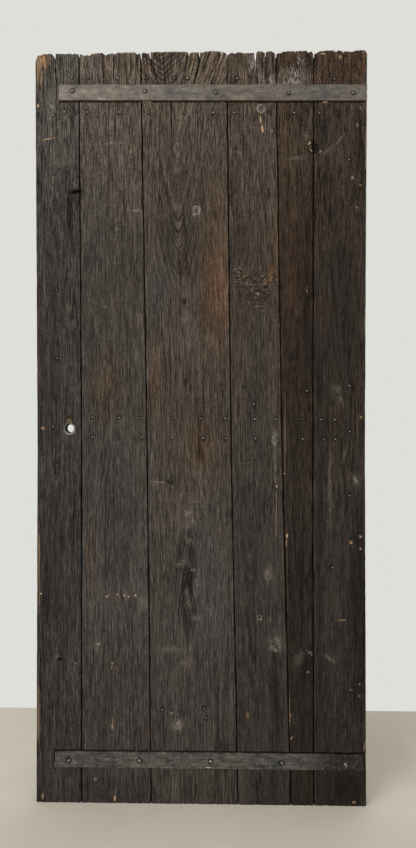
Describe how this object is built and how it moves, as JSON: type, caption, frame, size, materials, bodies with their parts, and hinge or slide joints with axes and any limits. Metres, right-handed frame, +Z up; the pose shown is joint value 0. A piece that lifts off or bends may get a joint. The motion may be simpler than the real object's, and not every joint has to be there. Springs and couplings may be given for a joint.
{
  "type": "ledged plank door",
  "caption": "Weathered plank door leaf of dark tongued and grooved boards, with ledges across the back and flat iron straps let into the front.",
  "frame": {"origin": "under the middle of the leaf at its foot, halfway through its whole depth", "axes": "+Z up the leaf, front with the iron straps faces -Y, +X towards the hinge edge"},
  "size_m": [0.918, 0.072, 2.088],
  "materials": {
    "board_wood": "dark, dry, weathered, open grain",
    "ledge_wood": "dark, dry, rough sawn",
    "strap_iron": "forged bar with a dull grey-brown patina",
    "nail_iron": "hammered, rusted dark"
  },
  "bodies": {
    "root": {"latch_board": "board_wood", "board_2": "board_wood", "board_3": "board_wood", "board_4": "board_wood", "board_5": "board_wood", "hinge_board": "board_wood", "top_ledge": "ledge_wood", "middle_ledge": "ledge_wood", "bottom_ledge": "ledge_wood", "top_strap": "strap_iron", "bottom_strap": "strap_iron", "top_strap_nails": "nail_iron", "bottom_strap_nails": "nail_iron", "top_ledge_nails_upper": "nail_iron", "top_ledge_nails_lower": "nail_iron", "middle_ledge_nails_upper": "nail_iron", "middle_ledge_nails_lower": "nail_iron", "bottom_ledge_nails": "nail_iron", "latch_side_nails": "nail_iron", "field_nails": "nail_iron", "hinge_side_nails": "nail_iron"}
  },
  "joints": []
}
